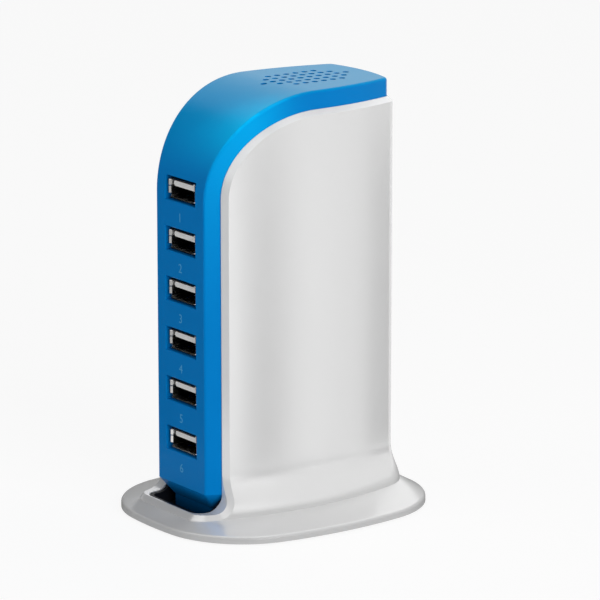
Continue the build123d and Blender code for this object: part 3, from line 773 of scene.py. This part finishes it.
    def accent(self, node: str) -> None:
        """Hangs a small soft spot that brightens one piece where its roll turns into the side.

        Args:
            node: the only solid that the spot lights.
        """
        light = bpy.data.lights.new("accent", "SPOT")
        light.energy = self.accent_power
        light.color = self.accent_tint
        light.spot_size = math.radians(self.accent_cone)
        light.spot_blend = 1.0
        light.shadow_soft_size = self.accent_softness
        place = Vector(self.accent_place)
        self.hang(light, place, place - Vector(self.accent_target), node)

    def heading(self, azimuth: float) -> Vector:
        """Returns the level direction at an azimuth in degrees, 0 in front and 90 on the right."""
        turn = math.radians(azimuth)
        return Vector((math.sin(turn), -math.cos(turn), 0))

    def reflected_only(self, name: str, rows: list[Row]) -> None:
        """Stages a glowing strip that only reflections show.

        Args:
            name: the strip's name.
            rows: two edge points and their brightness for each step along the strip.
        """
        points = [point for row in rows for point in row[:2]]
        faces = [(2 * n, 2 * n + 2, 2 * n + 3, 2 * n + 1) for n in range(len(rows) - 1)]
        mesh = bpy.data.meshes.new(name)
        mesh.from_pydata(points, [], faces)
        levels = mesh.attributes.new("glow", "FLOAT", "POINT")
        levels.data.foreach_set("value", [level for row in rows for level in row[2:]])
        material = bpy.data.materials.new(name)
        material.use_nodes = True
        material.node_tree.nodes.clear()
        sheet = NodeSheet(material.node_tree)
        level = sheet.add("ShaderNodeAttribute", attribute_name="glow").outputs["Fac"]
        glow = sheet.add("ShaderNodeEmission", {"Strength": level})
        sheet.add("ShaderNodeOutputMaterial", {"Surface": glow.outputs[0]})
        mesh.materials.append(material)
        thing = link(name, mesh)
        thing.visible_camera = False
        thing.visible_diffuse = False
        thing.visible_shadow = False
        thing.visible_transmission = False

    def card(self, card: Card) -> None:
        """Stands a curved card on the floor.

        Args:
            card: its place, size and brightness.
        """
        rows = []
        for n in range(card.panels + 1):
            azimuth = card.first + (card.last - card.first) * n / card.panels
            foot = self.heading(azimuth) * card.distance
            low, high = (foot + Vector((0, 0, height)) for height in (card.bottom, card.top))
            rows.append((low, high, card.strength, card.strength))
        self.reflected_only(card.name, rows)

    def base_ring(self) -> None:
        """Lays a dark ring round the base for its rim to mirror, and a low fence for its skirt."""
        high = CAD_BOX[1]
        level = self.ring_strength
        ring, fence = [], []
        for n in range(RING_STEPS + 1):
            way = self.heading(360.0 * n / RING_STEPS)
            edge = Vector((way.x * high.x, way.y * high.y, self.sweep_lift / 2))
            ring.append((edge * RING_TUCK, edge + way * self.ring_reach, level, level))
            foot, head = (Vector((*edge.xy * self.fence_reach, rise)) for rise in self.fence_rise)
            fence.append((foot, head, *self.fence_levels))
        self.reflected_only("base_ring", ring)
        self.reflected_only("base_fence", fence)

    def floor_sweep(self) -> None:
        """Lays bright and dark rays on the floor where the sleeve's upright side mirrors them."""
        rows = []
        for facing, level in self.sweep:
            normal = self.heading(facing)
            foot = Vector((*self.wall_centre, self.sweep_lift)) + normal * self.wall_radius
            way = self.heading(2 * facing - self.view_azimuth)
            rows.append((foot + way * self.sweep_near, foot + way * self.sweep_far, level, level))
        self.reflected_only("floor_sweep", rows)

    def build(self) -> None:
        """Sets up the whole studio."""
        bpy.context.scene.view_settings.view_transform = "Standard"
        self.floor()
        self.world()
        for lamp in self.lamps:
            self.lamp(lamp)
        self.accent("core_cover")
        self.floor_sweep()
        self.base_ring()
        for card in self.cards:
            self.card(card)
        LOG.info("studio: %d lamps, %d cards", len(self.lamps) + 1, len(self.cards))


@dataclass
class Viewpoint:
    """The camera: a long lens at the photograph's angle."""

    azimuth: float = 54.702
    elevation: float = 13.693
    distance: float = 1.216219
    target: Point = (-0.000216, 0.01003, 0.062651)
    lens: float = 240.0
    sensor: float = 36.0

    def build(self) -> None:
        """Sets the camera up and makes it the scene's."""
        turn, rise = math.radians(self.azimuth), math.radians(self.elevation)
        flat = math.cos(rise)
        way = Vector((math.sin(turn) * flat, -math.cos(turn) * flat, math.sin(rise)))
        data = bpy.data.cameras.new("camera")
        data.lens = self.lens
        data.sensor_width = self.sensor
        data.clip_end = CAMERA_REACH
        camera = bpy.data.objects.new("camera", data)
        camera.location = Vector(self.target) + way * self.distance
        camera.rotation_euler = way.to_track_quat("Z", "Y").to_euler()
        bpy.context.scene.collection.objects.link(camera)
        bpy.context.scene.camera = camera


def main() -> None:
    """Builds the dressed charger, its studio and the camera."""
    logging.basicConfig(level=logging.INFO, format="%(message)s")
    Housing().dress()
    PortBank().build()
    Fasteners().build()
    view = Viewpoint()
    Studio(view.azimuth).build()
    view.build()


if __name__ == "__main__":
    main()
